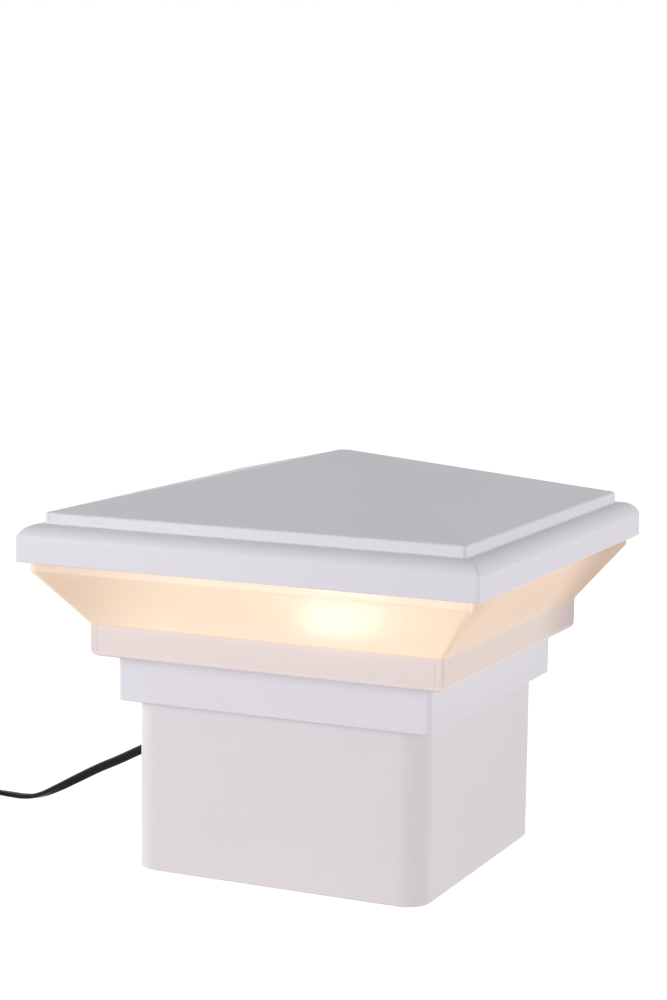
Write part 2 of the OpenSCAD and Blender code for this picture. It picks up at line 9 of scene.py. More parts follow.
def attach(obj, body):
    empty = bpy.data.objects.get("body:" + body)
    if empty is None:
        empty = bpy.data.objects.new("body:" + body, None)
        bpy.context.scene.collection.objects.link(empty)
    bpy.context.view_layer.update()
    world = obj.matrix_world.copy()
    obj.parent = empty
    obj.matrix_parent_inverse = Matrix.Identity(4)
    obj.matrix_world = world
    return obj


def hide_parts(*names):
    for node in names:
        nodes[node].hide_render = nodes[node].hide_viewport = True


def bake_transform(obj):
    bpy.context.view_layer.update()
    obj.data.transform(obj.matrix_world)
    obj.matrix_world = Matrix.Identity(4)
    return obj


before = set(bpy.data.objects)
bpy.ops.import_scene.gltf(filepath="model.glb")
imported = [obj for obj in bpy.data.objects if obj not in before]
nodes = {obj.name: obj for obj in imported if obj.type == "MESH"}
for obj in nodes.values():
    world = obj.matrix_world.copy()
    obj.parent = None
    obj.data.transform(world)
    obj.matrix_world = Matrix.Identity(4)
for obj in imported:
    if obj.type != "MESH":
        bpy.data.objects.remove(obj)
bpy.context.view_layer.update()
mm = 0.001  # the pieces are given in millimetres, and each mesh is made metres once
print("frame loaded,", len(nodes), "solids")


def closedMesh(name, rings, loop=False):
    # rings has one row per ring and one column per step round it. Quads join neighbouring rings. With loop
    # the last ring meets the first, otherwise each end is a fan about its mean point. The sum of a . (b x c)
    # over the triangles is six times the volume, and where it comes out negative the faces are turned over.
    rows, steps = rings.shape[:2]
    points = rings.reshape(-1, 3)
    here = np.arange(rows if loop else rows - 1)[:, None] * steps
    there = (here + steps) % (rows * steps)
    k = np.arange(steps)[None, :]
    nextK = (k + 1) % steps
    quads = np.stack([here + k, here + nextK, there + nextK, there + k], axis=-1).reshape(-1, 4)
    ends = [] if loop else [(0, True), ((rows - 1) * steps, False)]
    fans = []
    for first, flip in ends:
        centre = len(points)
        points = np.vstack([points, points[first:first + steps].mean(axis=0)])
        fan = np.stack([first + k[0], first + nextK[0], np.full(steps, centre)], axis=-1)
        fans.append(fan[:, ::-1] if flip else fan)
    a, b, c, d = (points[quads[:, i]] for i in range(4))
    volume = np.einsum("ij,ij->", a, np.cross(b, c)) + np.einsum("ij,ij->", a, np.cross(c, d))
    for fan in fans:
        a, b, c = (points[fan[:, i]] for i in range(3))
        volume += np.einsum("ij,ij->", a, np.cross(b, c))
    faces = quads.tolist() + [f for fan in fans for f in fan.tolist()]
    if volume < 0:
        faces = [f[::-1] for f in faces]
    mesh = bpy.data.meshes.new(name)
    mesh.from_pydata((points * mm).tolist(), [], faces)
    mesh.shade_smooth()
    return mesh


def newPiece(name, mesh, material, body, stands):
    # an object at the origin, with its material, in its body when one is given, and with the solids that it
    # stands for hidden
    piece = bpy.data.objects.new(name, mesh)
    bpy.context.scene.collection.objects.link(piece)
    mesh.materials.append(material)
    if body:
        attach(piece, body)
    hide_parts(*stands)
    return piece


def joined(name, meshes):
    # several closed meshes as one
    together = bmesh.new()
    for mesh in meshes:
        together.from_mesh(mesh)
        bpy.data.meshes.remove(mesh)
    mesh = bpy.data.meshes.new(name)
    together.to_mesh(mesh)
    together.free()
    mesh.shade_smooth()
    return mesh


def boolean(piece, cutterMesh, operation, sharpFrom=35):
    # the piece's mesh with the cutter's volume taken off or added, written back to the piece
    cutter = bpy.data.objects.new("cutter", cutterMesh)
    bpy.context.scene.collection.objects.link(cutter)
    step = piece.modifiers.new("cut", "BOOLEAN")
    step.object, step.operation, step.solver = cutter, operation, "EXACT"
    graph = bpy.context.evaluated_depsgraph_get()
    made = bpy.data.meshes.new_from_object(piece.evaluated_get(graph), depsgraph=graph)
    piece.modifiers.clear()
    old, piece.data = piece.data, made
    bpy.data.meshes.remove(old)
    bpy.data.objects.remove(cutter)
    made.shade_smooth()
    made.set_sharp_from_angle(angle=math.radians(sharpFrom))


def roundedLine(corners, closed, hold=0.35, stepAngle=9):
    # A line through the corners, each rounded by an arc of its own radius that touches both sides. The arc
    # takes radius / tan(half the inner angle) of each side, so every corner has to turn. A holding point just
    # outside each end of an arc keeps the flat sides flat when shaded, and lies within what the arcs leave.
    # A corner's columns are half width, height, radius of the arc, corner radius of the square there.
    corners = np.asarray(corners, float)
    count, rows = len(corners), []
    sides = np.roll(corners[:, :2], -1, axis=0) - corners[:, :2]  # from each corner to the next
    room = np.linalg.norm(sides, axis=1)
    ahead = sides / room[:, None]
    back = -np.roll(ahead, 1, axis=0)
    inner = np.arccos(np.clip((ahead * back).sum(axis=1), -1, 1))
    reach = corners[:, 2] / np.tan(inner / 2)
    if not closed:
        reach[[0, -1]] = 0
    spare = np.maximum(room - reach - np.roll(reach, -1), 0) * 0.45  # a little less than half each
    for i, (x, z, radius, plan) in enumerate(corners):
        if not closed and i in (0, count - 1):
            rows.append([x, z, plan])
            continue
        here, turn = np.array([x, z]), math.pi - inner[i]
        halfWay = back[i] + ahead[i]
        middle = here + halfWay / np.linalg.norm(halfWay) * radius / math.sin(inner[i] / 2)
        start = here + back[i] * reach[i] - middle
        steps = max(2, math.ceil(math.degrees(turn) / stepAngle))
        angles = np.linspace(0, turn, steps + 1)[:, None]
        arc = middle + start * np.cos(angles) - back[i] * radius * np.sin(angles)
        leadIn = here + back[i] * (reach[i] + min(hold, spare[i - 1]))
        leadOut = here + ahead[i] * (reach[i] + min(hold, spare[i]))
        for p in (leadIn, *arc, leadOut):
            rows.append([p[0], p[1], plan])
    return np.array(rows)


def squareRings(line, cornerSteps=6, hold=0.5, mostCorner=0.97, mostHold=0.3):
    # For each point of the line, a square ring of that half width whose corners are arcs of its corner
    # radius. A quarter is one corner's arc and then one flat side, with a point held close to each of its
    # ends, and is turned three times by a right angle.
    half, height = line[:, 0:1], line[:, 1:2]
    radius = np.minimum(line[:, 2:3], half * mostCorner)
    angle = np.linspace(0, math.pi / 2, cornerSteps + 1)[None, :]
    flat = half - radius
    edge = 1 - np.minimum(hold / np.maximum(flat, 1e-9), mostHold)
    across = np.concatenate([edge, edge * 0.5, edge * 0, edge * -0.5, edge * -1], axis=1)
    x = np.concatenate([flat + radius * np.cos(angle), flat * across], axis=1)
    y = np.concatenate([flat + radius * np.sin(angle), half + 0 * across], axis=1)
    ringX = np.concatenate([x, -y, -x, y], axis=1)
    ringY = np.concatenate([y, x, -y, -x], axis=1)
    return np.stack([ringX, ringY, height + 0 * ringX], axis=-1)


def revolved(line, steps=48):
    # The line's radius and height turned about the vertical axis: x is r cos a and y is r sin a
    angle = np.linspace(0, 2 * math.pi, steps, endpoint=False)[None, :]
    radius, height = line[:, 0:1], line[:, 1:2]
    return np.stack([radius * np.cos(angle), radius * np.sin(angle), height + 0 * angle], axis=-1)


def smoothPath(points, spacing):
    # Cubic through the points at even steps of chord length: each stretch takes its ends and their slopes
    points = np.asarray(points, float)
    knots = np.concatenate([[0], np.cumsum(np.linalg.norm(np.diff(points[:, :3], axis=0), axis=1))])
    slopes = np.gradient(points, knots, axis=0)
    at = np.linspace(0, knots[-1], int(knots[-1] / spacing) + 1)
    k = np.clip(np.searchsorted(knots, at, side="right") - 1, 0, len(knots) - 2)
    span = (knots[k + 1] - knots[k])[:, None]
    u = (at - knots[k])[:, None] / span
    return ((1 + 2 * u) * (1 - u) ** 2 * points[k] + u * (1 - u) ** 2 * span * slopes[k]
            + u * u * (3 - 2 * u) * points[k + 1] + u * u * (u - 1) * span * slopes[k + 1])


def sweptRings(path, outline, up=(0, 0, 1)):
    # The outline carried along the path. Its first number is across the level direction and its second
    # along the upright one, both turned by the path's fourth column, in degrees.
    tangent = np.gradient(path[:, :3], axis=0)
    tangent /= np.linalg.norm(tangent, axis=1, keepdims=True)
    level = np.cross(np.asarray(up, float)[None, :], tangent)
    level /= np.linalg.norm(level, axis=1, keepdims=True)
    upright = np.cross(tangent, level)
    turn = np.radians(path[:, 3] if path.shape[1] > 3 else np.zeros(len(path)))[:, None]
    c, s = np.cos(turn), np.sin(turn)
    a = outline[None, :, 0] * c + outline[None, :, 1] * s
    b = outline[None, :, 1] * c - outline[None, :, 0] * s
    return path[:, None, :3] + a[..., None] * level[:, None, :] + b[..., None] * upright[:, None, :]


def circleOutline(radius, steps=12):
    # x is r cos a and y is r sin a, at even steps
    angle = np.linspace(0, 2 * math.pi, steps, endpoint=False)
    return np.stack([radius * np.cos(angle), radius * np.sin(angle)], axis=-1)


def superOutline(halfWide, halfHigh, power, steps=40):
    # Each ring is |x/a|^p + |z/b|^p = 1, worked out from the angle
    angle = np.linspace(0, 2 * math.pi, steps, endpoint=False)[None, :]
    c, s = np.cos(angle), np.sin(angle)
    reach = (np.abs(c) ** power + np.abs(s) ** power) ** (-1 / power)
    return halfWide * reach * c, halfHigh * reach * s


def ease(x):
    # 3u^2 - 2u^3 between 0 and 1, and level before and after
    u = np.clip(x, 0, 1)
    return u * u * (3 - 2 * u)


def newMaterial(name):
    # a material with its node tree and main shader
    material = bpy.data.materials.new(name)
    material.use_nodes = True
    tree = material.node_tree
    return material, tree, tree.nodes["Principled BSDF"]


def setInputs(tree, made, inputs):
    # each input given a value or wired from another node's output, and a plain colour its alpha
    for key, value in inputs.items():
        socket = made.inputs[key]
        if isinstance(value, bpy.types.NodeSocket):
            tree.links.new(value, socket)
        elif socket.type == "RGBA":
            socket.default_value = (*value, 1)
        else:
            socket.default_value = value


def node(tree, kind, inputs=None, **settings):
    # a new node with its settings and inputs
    made = tree.nodes.new(kind)
    for key, value in settings.items():
        setattr(made, key, value)
    setInputs(tree, made, inputs or {})
    return made


def maths(tree, operation, a, b=0.0):
    # one operation on two values
    return node(tree, "ShaderNodeMath", {0: a, 1: b}, operation=operation).outputs[0]


def product(tree, first, *others):
    # all the values multiplied together
    for other in others:
        first = maths(tree, "MULTIPLY", first, other)
    return first


def oneMinus(tree, value):
    # what the value leaves of 1
    return maths(tree, "SUBTRACT", 1.0, value)


def objectPlace(tree, scale=(1, 1, 1)):
    # the place on the piece in metres, squeezed along an axis where its scale is below 1
    coordinates = node(tree, "ShaderNodeTexCoord").outputs["Object"]
    return node(tree, "ShaderNodeMapping", {"Vector": coordinates, "Scale": scale}).outputs[0]


def xyz(tree, place):
    # the three numbers of a place or direction
    return node(tree, "ShaderNodeSeparateXYZ", {"Vector": place}).outputs


def millimetres(tree, place):
    # the place's x, y and z, each divided into millimetres
    return [maths(tree, "DIVIDE", axis, mm) for axis in xyz(tree, place)]


def distanceFrom(tree, place, middle):
    # how far the place lies from a middle that is given in millimetres, in millimetres
    inputs = {0: place, 1: [c * mm for c in middle]}
    away = node(tree, "ShaderNodeVectorMath", inputs, operation="DISTANCE").outputs["Value"]
    return maths(tree, "DIVIDE", away, mm)


def noise(tree, place, scale, detail, rough=0.5):
    # smooth noise of about scale cells to the metre, with detail octaves of finer noise on it
    inputs = {"Vector": place, "Scale": scale, "Detail": detail, "Roughness": rough}
    return node(tree, "ShaderNodeTexNoise", inputs).outputs["Fac"]


def mapRange(tree, value, low, high, toLow=0, toHigh=1, smooth=False):
    # from one result at the low value to the other at the high one, straight or eased, and level outside them
    inputs = {"Value": value, "From Min": low, "From Max": high, "To Min": toLow, "To Max": toHigh}
    kind = "SMOOTHSTEP" if smooth else "LINEAR"
    return node(tree, "ShaderNodeMapRange", inputs, interpolation_type=kind).outputs["Result"]


def spread(tree, value, toLow=0, toHigh=1):
    # a noise, which lies mostly between 0.3 and 0.7, stretched between two results
    return mapRange(tree, value, 0.3, 0.7, toLow, toHigh)


def near(tree, value, middle, width):
    # 1 at the middle value and falling to 0 at one width on either side, as a smooth hump
    away = maths(tree, "ABSOLUTE", maths(tree, "SUBTRACT", value, middle))
    return mapRange(tree, away, 0, width, 1, 0, smooth=True)


def mixColour(tree, share, a, b, blend="MIX"):
    # a where the share is 0 and b where it is 1, or b times the share added to a, or a times b
    made = node(tree, "ShaderNodeMix", {"Factor": share, 6: a, 7: b}, data_type="RGBA", blend_type=blend)
    return made.outputs[2]


def bump(tree, height, strength, distance):
    # the normal tilted by the height's slope, with the distance in millimetres
    inputs = {"Height": height, "Strength": strength, "Distance": distance * mm}
    return node(tree, "ShaderNodeBump", inputs).outputs["Normal"]


def aimed(thing, place, right, up, ahead):
    # The matrix has as columns the object's X axis, Y axis and Z axis, which points back, and its place
    columns = np.stack([right, up, -ahead, place], axis=1)
    thing.matrix_world = Matrix(np.vstack([columns, [0, 0, 0, 1]]).tolist())
    bpy.context.scene.collection.objects.link(thing)


cameraValues = {
    "place": (311.1, -695.0, 219.5),
    "turn": 24.36,    # degrees round the vertical
    "pitch": 7.564,   # degrees down
    "roll": 0.783,    # degrees
    "lens": 83.743,   # on a 36 mm sensor along the picture's height
}


def makeCamera(v):
    # Ahead is found from turn and pitch, and the level and upright axes are turned about it by the roll
    turn, pitch, roll = (math.radians(v[k]) for k in ("turn", "pitch", "roll"))
    ahead = np.array([-math.sin(turn) * math.cos(pitch), math.cos(turn) * math.cos(pitch), -math.sin(pitch)])
    level = np.array([math.cos(turn), math.sin(turn), 0])
    above = np.cross(level, ahead)
    right = math.cos(roll) * level + math.sin(roll) * above
    up = -math.sin(roll) * level + math.cos(roll) * above
    data = bpy.data.cameras.new("camera")
    data.lens, data.clip_start, data.clip_end = v["lens"], 0.01, 20
    camera = bpy.data.objects.new("camera", data)
    aimed(camera, np.array(v["place"]) * mm, right, up, ahead)
    bpy.context.scene.camera = camera


makeCamera(cameraValues)
print("camera placed")

leadValues = {
    "width": 3.2,
    "thick": 1.7,
    "groove": 0.4,         # share of the thickness lost between the two conductors
    "grooveHalf": 0.34,
    "swell": 2.2,          # how quickly the width grows to either side of the middle
    "lobeHigh": 1.06,      # a lobe's height as a share of a round one's
    "spacing": 1.1,        # between rings on the free stretch
    "turns": 7.25,
    "ringsPerTurn": 72,
    "outerRadius": 21.6,   # to the middle of the outermost turn
    "pitch": 2.2,
    "low": 2.6,            # height of the lower layer's middle
    "climb": 3.7,
    "plugHeight": 3.5,
    "tail": 17,
    "tailStep": 1.1,
}
# x, y, z and turn in degrees: 0 stands the lead on its edge and 90 lays it flat
leadRoute = [
    [-52.6, 0, 32, 0], [-57, 0, 32, 0], [-63, 0.3, 31.2, 0], [-70, 1, 28.5, 0], [-77.8, 2.4, 24.6, 5],
    [-86.6, 3.8, 20, 6], [-96, 5, 15.4, 8], [-105, 5.7, 10.5, 16], [-113.4, 6.2, 5.9, 40],
    [-120, 6.5, 2.7, 68], [-124, 6.5, 1.5, 82], [-128, 6.5, 1, 90], [-133, 6.5, 1, 90],
    [-139, 6.5, 1.2, 80], [-146, 6.5, 1.8, 50], [-152.5, 6.5, 2.5, 15], [-158.8, 6.5, 2.6, 0]]


def flatTwinOutline(v, steps=32):
    # Two round lobes side by side: the width follows tanh of the angle's cosine, and the thickness has a
    # bell-shaped groove in the middle
    angle = np.linspace(0, 2 * math.pi, steps, endpoint=False) + math.pi / steps
    lobe = v["thick"] / 2
    apart = v["width"] / 2 - lobe
    along = apart * np.tanh(v["swell"] * np.cos(angle)) / math.tanh(v["swell"]) + lobe * np.cos(angle)
    groove = 1 - v["groove"] * np.exp(-(along / v["grooveHalf"]) ** 2)
    return np.stack([v["lobeHigh"] * lobe * np.sin(angle) * groove, along], axis=-1)


def coilMiddle(v):
    # the coil starts one lead's width past the end of the route, at the back of its outermost turn
    return leadRoute[-1][0] - v["width"], leadRoute[-1][1] - v["outerRadius"]


def leadPath(v):
    # The free stretch, then a flat spiral whose radius falls by the pitch each turn and grows again from the
    # middle turn, where the lead climbs to an upper layer over half a turn, then a straight tail that falls
    # to the plug
    free = smoothPath(leadRoute, v["spacing"])
    coilX, coilY = coilMiddle(v)
    t = np.arange(round(v["turns"] * v["ringsPerTurn"]) + 1) / v["ringsPerTurn"]
    radius = v["outerRadius"] - v["pitch"] * np.minimum(t, v["turns"] - t)
    angle = math.pi / 2 + 2 * math.pi * t
    height = v["low"] + v["climb"] * ease((t - v["turns"] / 2) * 2 + 0.5)
    coil = np.stack([coilX + radius * np.cos(angle), coilY + radius * np.sin(angle), height, 0 * t], axis=-1)
    down = np.arange(v["tailStep"], v["tail"], v["tailStep"])
    down = np.append(down[down < v["tail"] - v["tailStep"] / 2], v["tail"])
    top = v["low"] + v["climb"]
    fall = top - (top - v["plugHeight"]) * ease(down / (0.8 * v["tail"]))
    tail = np.stack([coilX - v["outerRadius"] + 0 * down, coilY - down, fall, 0 * down], axis=-1)
    return np.vstack([free, coil, tail])


pvcValues = {"colour": (0.002, 0.002, 0.0025), "lighter": 1.5, "rough": (0.14, 0.2), "gloss": 0.17}


def glossyPvc(name, v):
    # near black with a soft gloss and a fine grain, a little lighter and less glossy in patches
    material, tree, shader = newMaterial(name)
    place = objectPlace(tree)
    patches = spread(tree, noise(tree, place, scale=90, detail=4, rough=0.6))
    lighter = [c * v["lighter"] for c in v["colour"]]
    setInputs(tree, shader, {
        "Base Color": mixColour(tree, patches, v["colour"], lighter),
        "Roughness": mapRange(tree, patches, 0, 1, *v["rough"]),
        "Normal": bump(tree, noise(tree, place, scale=1400, detail=2), strength=0.05, distance=0.04),
        "Specular IOR Level": v["gloss"],
    })
    return material


blackPvc = glossyPvc("blackPvc", pvcValues)


def makeLead(v):
    # the twin outline carried along the whole path
    path = leadPath(v)
    mesh = closedMesh("powerLead", sweptRings(path, flatTwinOutline(v)))
    lead = newPiece("powerLead", mesh, blackPvc, "post", ("lead_free", "lead_coil"))
    return lead, path


powerLead, leadLine = makeLead(leadValues)
leadLength = float(np.linalg.norm(np.diff(leadLine[:, :3], axis=0), axis=1).sum())
print("lead made,", round(leadLength, 1), "mm long")

plugValues = {
    "reliefLength": 9, "reliefRadius": (2.1, 3.0), "ribs": 5, "ribHeight": 0.28,
    "bodyLength": 18, "width": 9, "height": 7, "dip": 0.55,
    "shoulder": (3.2, 3.0),   # half width and half height where the body starts
}


def makePlug(v, x, y, z):
    # A relief that widens, with ribs as a sine along it, then a body that eases out from a shoulder, closes
    # in at its end, and dips at the sides for the fingers as a bell curve
    relief = np.linspace(0, 1, 46)
    ribs = v["ribHeight"] * np.sin(relief * 2 * math.pi * v["ribs"] - math.pi / 2) * (relief < 0.98)
    reliefSize = v["reliefRadius"][0] + relief * (v["reliefRadius"][1] - v["reliefRadius"][0]) + ribs
    body = np.linspace(0, 1, 30)
    opens, closes = ease(body / 0.16), 1 - 0.14 * ease((body - 0.93) / 0.07)
    dip = v["dip"] * np.exp(-((body - 0.5) / 0.2) ** 2)
    startWide, startHigh = v["shoulder"]
    wide = (startWide + (v["width"] / 2 - startWide) * opens - dip) * closes
    high = (startHigh + (v["height"] / 2 - startHigh) * opens) * closes
    step = 0.15  # from the relief's last ring to the shoulder
    bodyAlong = v["reliefLength"] + step + body * (v["bodyLength"] - step)
    along = np.concatenate([relief * v["reliefLength"], bodyAlong])
    power = np.concatenate([np.full(len(relief), 2.0), 2 + 2.6 * opens])[:, None]
    ringX, ringZ = superOutline(np.concatenate([reliefSize, wide])[:, None],
                                np.concatenate([reliefSize, high])[:, None], power)
    rings = np.stack([x + ringX, y - along[:, None] + 0 * ringX, z + ringZ], axis=-1)
    mesh = closedMesh("moldedPlug", rings)
    return newPiece("moldedPlug", mesh, blackPvc, "post", ("lead_plug",))


moldedPlug = makePlug(plugValues, *leadLine[-1, :3])


def rubber(name, colour, rough=0.75, grain=900, dusty=1.35):
    # Matt, with a fine grain, and paler by the factor dusty in patches
    material, tree, shader = newMaterial(name)
    place = objectPlace(tree)
    grainHeight = noise(tree, place, scale=grain, detail=4, rough=0.6)
    dust = mapRange(tree, noise(tree, place, scale=60, detail=5, rough=0.65), 0.42, 0.72)
    setInputs(tree, shader, {
        "Base Color": mixColour(tree, dust, colour, [c * dusty for c in colour]),
        "Roughness": spread(tree, grainHeight, rough - 0.1, rough + 0.1),
        "Normal": bump(tree, grainHeight, strength=0.3, distance=0.2),
    })
    return material


blackRubber = rubber("blackRubber", (0.022, 0.022, 0.023))

# angle is its place round the coil in degrees, and inner and outer are its sides' distances from the axis
tieValues = {"angle": 300, "width": 4, "thick": 0.8, "inner": 12.6, "outer": 22.8, "top": 8.2}


def makeTie(v):
    # A strap round the coil's turns. Its run is a superellipse of power 6, which is nearly a rectangle, its
    # section is one of power 5, and the section lies along the run's tangent turned by a right angle.
    halfWide, halfHigh = (v["outer"] - v["inner"] + v["thick"]) / 2, v["top"] / 2
    out, up = (p[0] for p in superOutline(halfWide, halfHigh, 6, 64))
    alongOut, alongUp = (np.gradient(np.r_[p[-1], p, p[0]])[1:-1] for p in (out, up))
    normal = np.stack([alongUp, -alongOut], axis=-1)
    normal /= np.linalg.norm(normal, axis=1, keepdims=True)
    deep, wide = superOutline(v["thick"] / 2, v["width"] / 2, 5, 20)
    r = (v["inner"] + v["outer"]) / 2 + out[:, None] + normal[:, 0:1] * deep
    z = halfHigh + v["thick"] / 2 + up[:, None] + normal[:, 1:2] * deep
    w = wide + 0 * r
    turn = math.radians(v["angle"])
    coilX, coilY = coilMiddle(leadValues)
    rings = np.stack([coilX + r * math.cos(turn) - w * math.sin(turn),
                      coilY + r * math.sin(turn) + w * math.cos(turn), z], axis=-1)
    mesh = closedMesh("coilTie", rings, loop=True)
    return newPiece("coilTie", mesh, blackRubber, "post", ("coil_tie",))


coilTie = makeTie(tieValues)

grommetValues = {
    "x": -50.8, "z": 32, "wall": 3.4, "neck": 4.9, "lip": 6.6, "lipThick": 1.8,
    "outerDome": 1.2, "innerDome": 0.8,
}


def makeGrommet(v):
    # Turned about the lead's line: a domed lip outside the wall, a neck in the wall and a lip inside it. The
    # points on the axis are left to the fans that close the ends.
    outside, within = -v["lipThick"], v["wall"] + v["lipThick"]
    corners = [[0, outside, 0, 0], [v["lip"], outside, v["outerDome"], 0], [v["lip"], 0, 0.15, 0],
               [v["neck"], 0, 0.1, 0], [v["neck"], v["wall"], 0.1, 0], [v["lip"], v["wall"], 0.15, 0],
               [v["lip"], within, v["innerDome"], 0], [0, within, 0, 0]]
    rings = revolved(roundedLine(corners, closed=False, hold=0.2)[1:-1])
    turned = np.stack([v["x"] + rings[..., 2], rings[..., 1], v["z"] + rings[..., 0]], axis=-1)
    mesh = closedMesh("cableGrommet", turned)
    newPiece("cableGrommet", mesh, blackRubber, "post", ("cable_grommet",))


makeGrommet(grommetValues)
print("plug, tie and grommet made")


def drawnLines(tree, height, base):
    # faint upright lines in the height and the colour, as an extrusion has
    lines = noise(tree, objectPlace(tree, (1, 1, 0.01)), scale=420, detail=2, rough=0.5)
    shade = mapRange(tree, lines, 0.35, 0.65, 0.997, 1.0)
    grey = node(tree, "ShaderNodeCombineColor", {0: shade, 1: shade, 2: shade}).outputs[0]
    return maths(tree, "ADD", product(tree, lines, 0.5), height), mixColour(tree, 1.0, base, grey, "MULTIPLY")


def darkSpecks(tree, place, base, share):
    # a dark dot in the middle of a few of the cells, chosen by the cell's own chance colour
    cells = node(tree, "ShaderNodeTexVoronoi", {"Vector": place, "Scale": 70.0}).outputs
    dot = mapRange(tree, cells["Distance"], 0.012, 0.03, 1, 0)
    chance = node(tree, "ShaderNodeSeparateColor", {0: cells["Color"]}).outputs[0]
    chosen = maths(tree, "GREATER_THAN", chance, 1 - share)
    return mixColour(tree, product(tree, dot, chosen), base, (0.32, 0.31, 0.31))


def weldStreaks(tree, place, base, v):
    # fine upright streaks at the square's corners about one height, where the melt met
    x, y, z = millimetres(tree, place)
    corner = maths(tree, "MINIMUM", maths(tree, "ABSOLUTE", x), maths(tree, "ABSOLUTE", y))
    atCorner = mapRange(tree, corner, v["from"], v["full"], smooth=True)
    streak = noise(tree, objectPlace(tree, (1, 1, 0.02)), scale=900, detail=1, rough=0.5)
    amount = product(tree, atCorner, near(tree, z, v["height"], v["reach"]),
                     mapRange(tree, streak, 0.45, 0.62, 0, v["amount"]))
    return mixColour(tree, amount, base, v["colour"])


def whitePlastic(name, v, drawn=False, weld=None):
    # White plastic: a slow change of tone, fine moulding texture in the bump, and a few tiny dark specks
    material, tree, shader = newMaterial(name)
    place = objectPlace(tree)
    slow = noise(tree, place, scale=16, detail=3, rough=0.5)
    base = mixColour(tree, spread(tree, slow), v["colour"], v["tint"])
    height = noise(tree, place, scale=700, detail=3, rough=0.6)
    if drawn:
        height, base = drawnLines(tree, height, base)
    base = darkSpecks(tree, place, base, v["specks"])
    if weld:
        base = weldStreaks(tree, place, base, weld)
    setInputs(tree, shader, {
        "Base Color": base,
        "Roughness": spread(tree, slow, v["rough"] - 0.04, v["rough"] + 0.05),
        "Normal": bump(tree, height, strength=0.1, distance=0.06),
        "Specular IOR Level": v["gloss"],
    })
    return material


sleeveValues = {
    "half": 50.8, "wall": 3.4, "corner": 8, "top": 67.3, "edge": 0.5,
    "colour": (0.80, 0.765, 0.785), "tint": (0.815, 0.785, 0.80), "rough": 0.34, "gloss": 0.3, "specks": 0.02,
}
sleeveVinyl = whitePlastic("sleeveVinyl", sleeveValues, drawn=True)


def makeSleeve(v):
    # a closed outline of the wall, carried round the square
    inner, innerCorner = v["half"] - v["wall"], v["corner"] - v["wall"]
    corners = [[v["half"], 0, v["edge"], v["corner"]], [v["half"], v["top"], v["edge"], v["corner"]],
               [inner, v["top"], v["edge"], innerCorner], [inner, 0, v["edge"], innerCorner]]
    rings = squareRings(roundedLine(corners, closed=True), cornerSteps=12)
    mesh = closedMesh("vinylSleeve", rings, loop=True)
    newPiece("vinylSleeve", mesh, sleeveVinyl, "post", ("post_sleeve",))


makeSleeve(sleeveValues)

whiteValues = {
    "colour": (0.80, 0.784, 0.833), "tint": (0.82, 0.805, 0.843),
    "rough": 0.36, "gloss": 0.45, "specks": 0.04,
}
weldValues = {
    "from": 68.5, "full": 70.5,   # the smaller of |x| and |y| where the streaks start and are full
    "height": 116, "reach": 3.2, "amount": 0.5, "colour": (0.58, 0.57, 0.59),
}
capWhite = whitePlastic("capWhite", whiteValues, weld=weldValues)

collarValues = {
    "half": 54.3, "wall": 3, "low": 56, "top": 71.8, "deck": 3, "corner": 1.5, "hole": 8.1,
    "innerCorner": 0.8,
    "lowRound": 0.5, "topRound": 0.4, "holeRound": 0.3, "innerRound": 0.5, "innerLow": 0.4,
    "grubHeight": 61.65, "grubRadius": 2.05,
}


def makeCollar(v):
    # A closed outline of wall and deck, carried round the square. At the hole the corner radius is nearly the
    # half width, which makes it round. Two round cutters take out the grub screws' holes.
    inner, under, hole = v["half"] - v["wall"], v["top"] - v["deck"], v["hole"]
    corners = [[v["half"], v["low"], v["lowRound"], v["corner"]],
               [v["half"], v["top"], v["topRound"], v["corner"]],
               [hole, v["top"], v["holeRound"], hole], [hole, under, v["holeRound"], hole],
               [inner, under, v["innerRound"], v["innerCorner"]],
               [inner, v["low"], v["innerLow"], v["innerCorner"]]]
    mesh = closedMesh("baseCollar", squareRings(roundedLine(corners, closed=True)), loop=True)
    collar = newPiece("baseCollar", mesh, capWhite, "head", ("base_collar",))
    past = 1  # how far a cutter stands out on each side of the wall
    cutter = revolved(np.array([[v["grubRadius"], inner - past], [v["grubRadius"], v["half"] + past]]), 32)
    a, b, out = cutter[..., 0], v["grubHeight"] + cutter[..., 1], cutter[..., 2]
    back = closedMesh("backHole", np.stack([a, out, b], axis=-1))
    left = closedMesh("leftHole", np.stack([-out, a, b], axis=-1))
    boolean(collar, joined("grubHoles", [back, left]), "DIFFERENCE")


makeCollar(collarValues)

roofValues = {
    "half": 78, "wall": 2.8, "low": 102.5, "ledge": 114.3, "round": 5.6, "roundDrop": 4.1, "roundLean": 18,
    "fasciaCorner": 0.7, "stepHalf": 71.2, "step": 117.9, "stepEdge": 1.0, "stepCorner": 0.9,
    "ledgeRound": 0.6, "crispRound": 0.12, "lowRound": 0.3, "innerLow": 0.4,
    "apex": 135.5, "blunt": 0.28, "tip": 2.0, "tipFlat": 0.3, "tipRound": 1.2, "tipCorner": 0.8,
    "seat": 111.5, "innerRound": 0.5, "innerCorner": 0.6,
    "bossRadius": 3.9, "bossLow": 110, "bossRound": 0.3,
    "bossInto": 0.8,   # how far a boss goes into the wall
    "clipX": 60.15, "plateX": 41.65,
}


